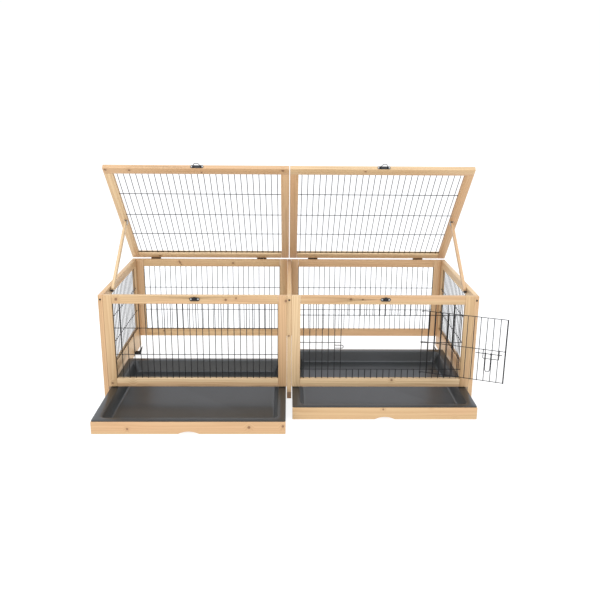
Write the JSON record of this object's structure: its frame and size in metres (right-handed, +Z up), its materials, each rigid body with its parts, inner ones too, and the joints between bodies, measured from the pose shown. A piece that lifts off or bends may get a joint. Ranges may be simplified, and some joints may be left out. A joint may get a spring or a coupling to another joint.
{
  "type": "rabbit hutch",
  "caption": "Low two-bay wooden small-animal hutch with wire mesh panels, propped mesh lids, pull-out trays and a wire door.",
  "frame": {"origin": "centre of the footprint of the frame on the floor, under the divider's bottom board", "axes": "+Z up, the front with the door faces -Y, +X to the right seen from the front"},
  "size_m": [1.2744, 0.7852, 0.7453],
  "materials": {
    "pine": "bare planed pine, clear satin",
    "mesh_wire": "black coated welded wire",
    "black_hardware": "black coated sheet steel",
    "zinc_screws": "zinc plated",
    "tray_plastic": "dark grey formed sheet, satin",
    "guide_plastic": "black moulded"
  },
  "bodies": {
    "frame": {"side_left_stiles": "pine", "side_left_top_rail": "pine", "side_left_board": "pine", "side_left_mesh": "mesh_wire", "side_right_stiles": "pine", "side_right_top_rail": "pine", "side_right_board": "pine", "side_right_mesh": "mesh_wire", "divider_stiles": "pine", "divider_top_rail": "pine", "divider_board": "pine", "divider_mesh": "mesh_wire", "front_left_stiles": "pine", "front_left_rails": "pine", "front_left_mesh": "mesh_wire", "front_right_stiles": "pine", "front_right_rails": "pine", "front_right_mesh_left": "mesh_wire", "front_right_mesh_right": "mesh_wire", "front_right_mesh_below": "mesh_wire", "front_right_mesh_above": "mesh_wire", "door_catch": "mesh_wire", "rear_left_stiles": "pine", "rear_left_rails": "pine", "rear_left_mesh": "mesh_wire", "rear_right_stiles": "pine", "rear_right_rails": "pine", "rear_right_mesh": "mesh_wire", "stay_pegs": "black_hardware", "hinge_frame_leaves": "black_hardware", "hinge_pins": "zinc_screws", "strike_plates": "black_hardware", "frame_screws": "zinc_screws", "tray_guides": "guide_plastic"},
    "lid_left": {"lid_left_stiles": "pine", "lid_left_front_rail": "pine", "lid_left_rear_rail": "pine", "lid_left_mesh": "mesh_wire", "stay_bracket_left": "zinc_screws", "hinge_lid_leaves_left": "black_hardware", "lid_latch_plate_left": "black_hardware", "lid_screws_left": "zinc_screws"},
    "lid_right": {"lid_right_stiles": "pine", "lid_right_front_rail": "pine", "lid_right_rear_rail": "pine", "lid_right_mesh": "mesh_wire", "stay_bracket_right": "zinc_screws", "hinge_lid_leaves_right": "black_hardware", "lid_latch_plate_right": "black_hardware", "lid_screws_right": "zinc_screws"},
    "stay_left": {"stay_left": "pine"},
    "stay_right": {"stay_right": "pine"},
    "tray_left": {"tray_left": "tray_plastic", "tray_board_left": "pine"},
    "tray_right": {"tray_right": "tray_plastic", "tray_board_right": "pine"},
    "door": {"door": "mesh_wire", "door_bolt_guide": "mesh_wire"},
    "door_bolt": {"door_bolt": "mesh_wire"},
    "door_bolt_handle": {"door_bolt_handle": "mesh_wire"},
    "latch_loop_left": {"lid_latch_loop_left": "black_hardware"},
    "latch_loop_right": {"lid_latch_loop_right": "black_hardware"}
  },
  "joints": [
    {"name": "lid_left_hinge", "type": "hinge", "parent": "frame", "child": "lid_left", "pos_m": [-0.3005, 0.2637, 0.35], "axis": [-1, 0, 0], "range_deg": [-46, 50]},
    {"name": "stay_left_pivot", "type": "hinge", "parent": "lid_left", "child": "stay_left", "pos_m": [-0.5795, 0.09, 0.51548], "axis": [-1, 0, 0], "range_deg": [-45, 80]},
    {"name": "tray_left_slide", "type": "slide", "parent": "frame", "child": "tray_left", "axis": [0, -1, 0], "range_m": [-0.253, 0.147]},
    {"name": "latch_loop_left_hinge", "type": "hinge", "parent": "lid_left", "child": "latch_loop_left", "pos_m": [-0.2975, -0.09784, 0.73446], "axis": [-1, 0, 0], "range_deg": [-72, 98]},
    {"name": "lid_right_hinge", "type": "hinge", "parent": "frame", "child": "lid_right", "pos_m": [0.3005, 0.2637, 0.35], "axis": [-1, 0, 0], "range_deg": [-46, 50]},
    {"name": "stay_right_pivot", "type": "hinge", "parent": "lid_right", "child": "stay_right", "pos_m": [0.5795, 0.09, 0.51548], "axis": [-1, 0, 0], "range_deg": [-45, 80]},
    {"name": "tray_right_slide", "type": "slide", "parent": "frame", "child": "tray_right", "axis": [0, -1, 0], "range_m": [-0.155, 0.245]},
    {"name": "latch_loop_right_hinge", "type": "hinge", "parent": "lid_right", "child": "latch_loop_right", "pos_m": [0.3035, -0.09784, 0.73446], "axis": [-1, 0, 0], "range_deg": [-72, 98]},
    {"name": "door_hinge", "type": "hinge", "parent": "frame", "child": "door", "pos_m": [0.426, -0.251, 0.1945], "axis": [0, 0, 1], "range_deg": [-158, 0]},
    {"name": "door_bolt_slide", "type": "slide", "parent": "door", "child": "door_bolt", "axis": [-0.9272, 0.3746, 0], "range_m": [-0.018, 0.004]},
    {"name": "door_bolt_handle_hinge", "type": "hinge", "parent": "door_bolt", "child": "door_bolt_handle", "pos_m": [0.62408, -0.32132, 0.18], "axis": [0.9272, -0.3746, 0], "range_deg": [0, 100]}
  ]
}
